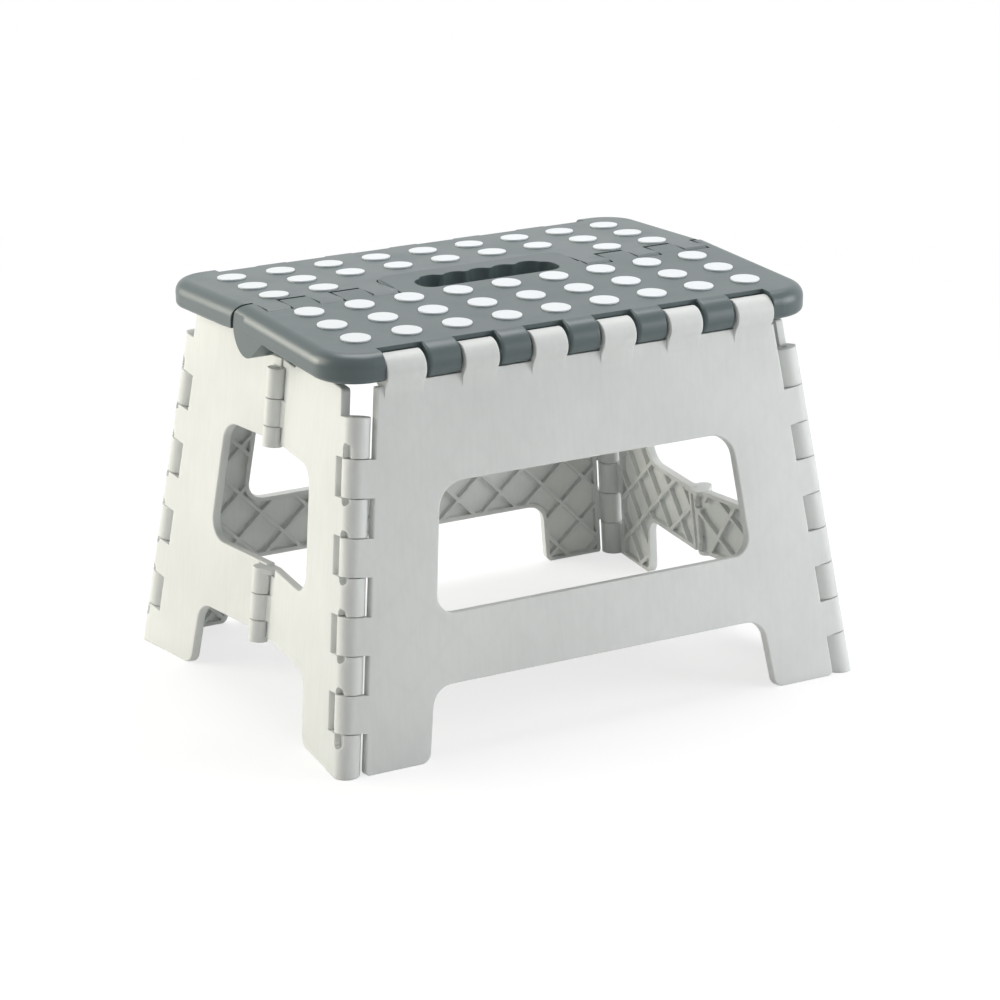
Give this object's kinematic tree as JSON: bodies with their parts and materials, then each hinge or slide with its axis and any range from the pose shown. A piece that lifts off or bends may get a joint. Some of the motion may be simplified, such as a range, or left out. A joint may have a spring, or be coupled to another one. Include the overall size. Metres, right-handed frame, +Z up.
{
  "type": "folding step stool",
  "caption": "Folding plastic step stool with a dotted split top, a carry-handle slot, leaning ribbed legs and hinged ends that fold inward.",
  "frame": {"origin": "on the floor below the middle of the top", "axes": "+X along the top, +Y towards the rear leg, +Z up"},
  "size_m": [0.3202, 0.256, 0.2208],
  "materials": {
    "top_slate": "fine satin moulded plastic",
    "dot_light": "soft white grip discs",
    "body_light": "satin light grey moulded plastic",
    "pin_steel": "plain drawn wire"
  },
  "bodies": {
    "front_leg": {"front_leg": "body_light", "front_edge_pin": "pin_steel", "front_left_corner_pin": "pin_steel", "front_right_corner_pin": "pin_steel"},
    "left_front_end": {"left_front_end": "body_light"},
    "left_rear_end": {"left_rear_end": "body_light", "left_upper_end_pin": "pin_steel", "left_lower_end_pin": "pin_steel"},
    "rear_leg": {"rear_leg": "body_light", "rear_edge_pin": "pin_steel", "rear_left_corner_pin": "pin_steel", "rear_right_corner_pin": "pin_steel"},
    "right_front_end": {"right_front_end": "body_light"},
    "right_rear_end": {"right_rear_end": "body_light", "right_upper_end_pin": "pin_steel", "right_lower_end_pin": "pin_steel"},
    "front_top": {"front_top": "top_slate", "front_dots": "dot_light", "left_ridge_pin": "pin_steel", "right_ridge_pin": "pin_steel"},
    "rear_top": {"rear_top": "top_slate", "rear_dots": "dot_light"}
  },
  "joints": [
    {"name": "fold", "type": "hinge", "parent": "front_leg", "child": "left_front_end", "pos_m": [-0.153, -0.12094, 0], "axis": [-0.1257, -0.1316, -0.9833], "range_deg": [0, 80]},
    {"name": "left_end_fold", "type": "hinge", "parent": "left_front_end", "child": "left_rear_end", "pos_m": [-0.14854, 0, 0], "axis": [0.1114, 0, 0.9938], "range_deg": [0, 158.3]},
    {"name": "rear_left_corner", "type": "hinge", "parent": "left_rear_end", "child": "rear_leg", "pos_m": [-0.153, 0.12094, 0], "axis": [-0.1257, 0.1316, -0.9833], "range_deg": [0, 80.1]},
    {"name": "front_right_corner", "type": "hinge", "parent": "front_leg", "child": "right_front_end", "pos_m": [0.153, -0.12094, 0], "axis": [-0.1257, 0.1316, 0.9833], "range_deg": [0, 80.1]},
    {"name": "rear_right_corner", "type": "hinge", "parent": "rear_leg", "child": "right_rear_end", "pos_m": [0.153, 0.12094, 0], "axis": [0.1257, 0.1316, -0.9833], "range_deg": [0, 80.1]},
    {"name": "front_top_hinge", "type": "hinge", "parent": "front_leg", "child": "front_top", "pos_m": [0, -0.098, 0.2055], "axis": [1, 0, 0], "range_deg": [0, 69.9]},
    {"name": "rear_top_hinge", "type": "hinge", "parent": "rear_leg", "child": "rear_top", "pos_m": [0, 0.098, 0.2055], "axis": [-1, 0, 0], "range_deg": [0, 69.9]}
  ],
  "couplings": [
    {"joint": "left_end_fold", "follows": "fold", "ratio": 1.9773},
    {"joint": "rear_left_corner", "follows": "fold", "ratio": 1},
    {"joint": "front_right_corner", "follows": "fold", "ratio": 1},
    {"joint": "rear_right_corner", "follows": "fold", "ratio": 1},
    {"joint": "front_top_hinge", "follows": "fold", "ratio": 0.8728},
    {"joint": "rear_top_hinge", "follows": "fold", "ratio": 0.8728}
  ]
}
